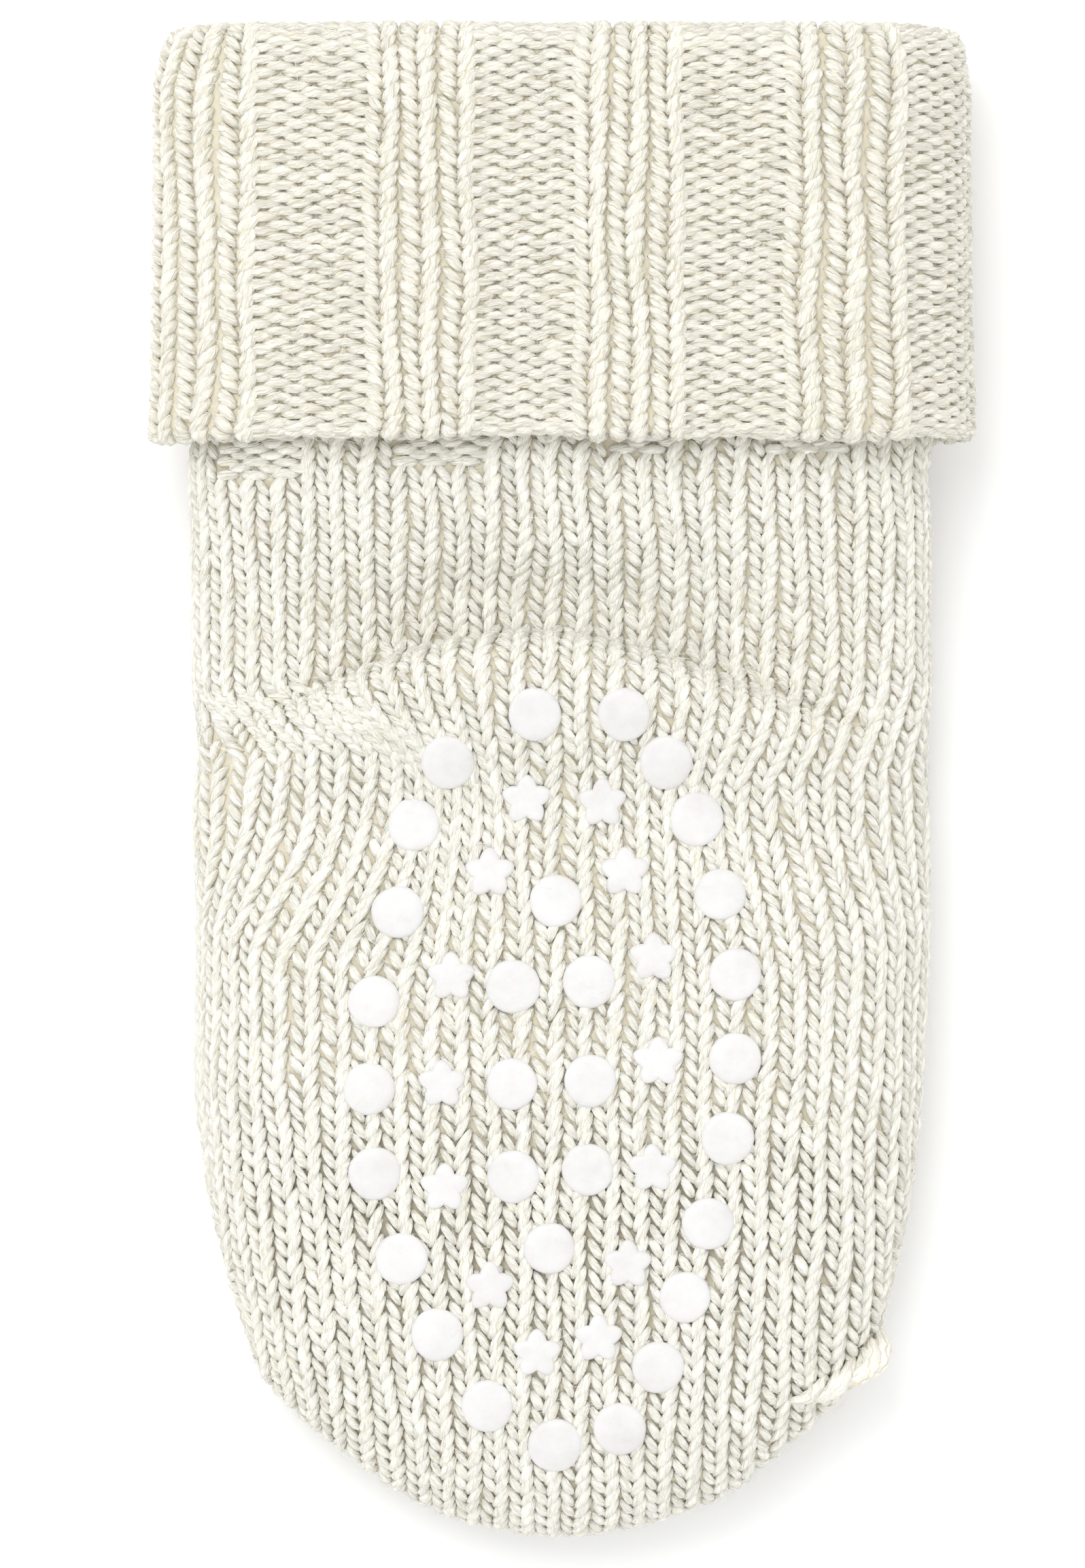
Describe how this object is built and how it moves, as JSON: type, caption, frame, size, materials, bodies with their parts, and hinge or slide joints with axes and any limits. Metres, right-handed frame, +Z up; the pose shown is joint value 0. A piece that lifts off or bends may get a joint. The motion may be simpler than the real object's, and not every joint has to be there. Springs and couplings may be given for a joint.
{
  "type": "slipper sock",
  "caption": "Small child's chunky knitted slipper sock with a turned-down ribbed cuff and a non-slip print of dots and stars under the foot, lying slack with its sole up.",
  "frame": {"origin": "middle of the footprint, on the floor that the sock lies on", "axes": "+Y from the toes to the cuff, +X to the right seen from above with the toes nearest, +Z up out of the sole"},
  "size_m": [0.0733, 0.135, 0.0228],
  "materials": {
    "wool_yarn": "matt, slightly fuzzy undyed knitting yarn",
    "silicone_print": "soft satin, slightly translucent white silicone"
  },
  "bodies": {
    "root": {"knit_upper": "wool_yarn", "toe_seam": "wool_yarn", "grip_dot_01": "silicone_print", "grip_dot_02": "silicone_print", "grip_dot_03": "silicone_print", "grip_dot_04": "silicone_print", "grip_dot_05": "silicone_print", "grip_dot_06": "silicone_print", "grip_dot_07": "silicone_print", "grip_dot_08": "silicone_print", "grip_dot_09": "silicone_print", "grip_dot_10": "silicone_print", "grip_dot_11": "silicone_print", "grip_dot_12": "silicone_print", "grip_dot_13": "silicone_print", "grip_dot_14": "silicone_print", "grip_dot_15": "silicone_print", "grip_dot_16": "silicone_print", "grip_dot_17": "silicone_print", "grip_dot_18": "silicone_print", "grip_dot_19": "silicone_print", "grip_dot_20": "silicone_print", "grip_dot_21": "silicone_print", "grip_dot_22": "silicone_print", "grip_dot_23": "silicone_print", "grip_dot_24": "silicone_print", "grip_dot_25": "silicone_print", "grip_dot_26": "silicone_print", "grip_dot_27": "silicone_print", "grip_dot_28": "silicone_print", "grip_dot_29": "silicone_print", "grip_dot_30": "silicone_print", "grip_star_01": "silicone_print", "grip_star_02": "silicone_print", "grip_star_03": "silicone_print", "grip_star_04": "silicone_print", "grip_star_05": "silicone_print", "grip_star_06": "silicone_print", "grip_star_07": "silicone_print", "grip_star_08": "silicone_print", "grip_star_09": "silicone_print", "grip_star_10": "silicone_print", "grip_star_11": "silicone_print", "grip_star_12": "silicone_print", "grip_star_13": "silicone_print", "grip_star_14": "silicone_print"}
  },
  "joints": []
}
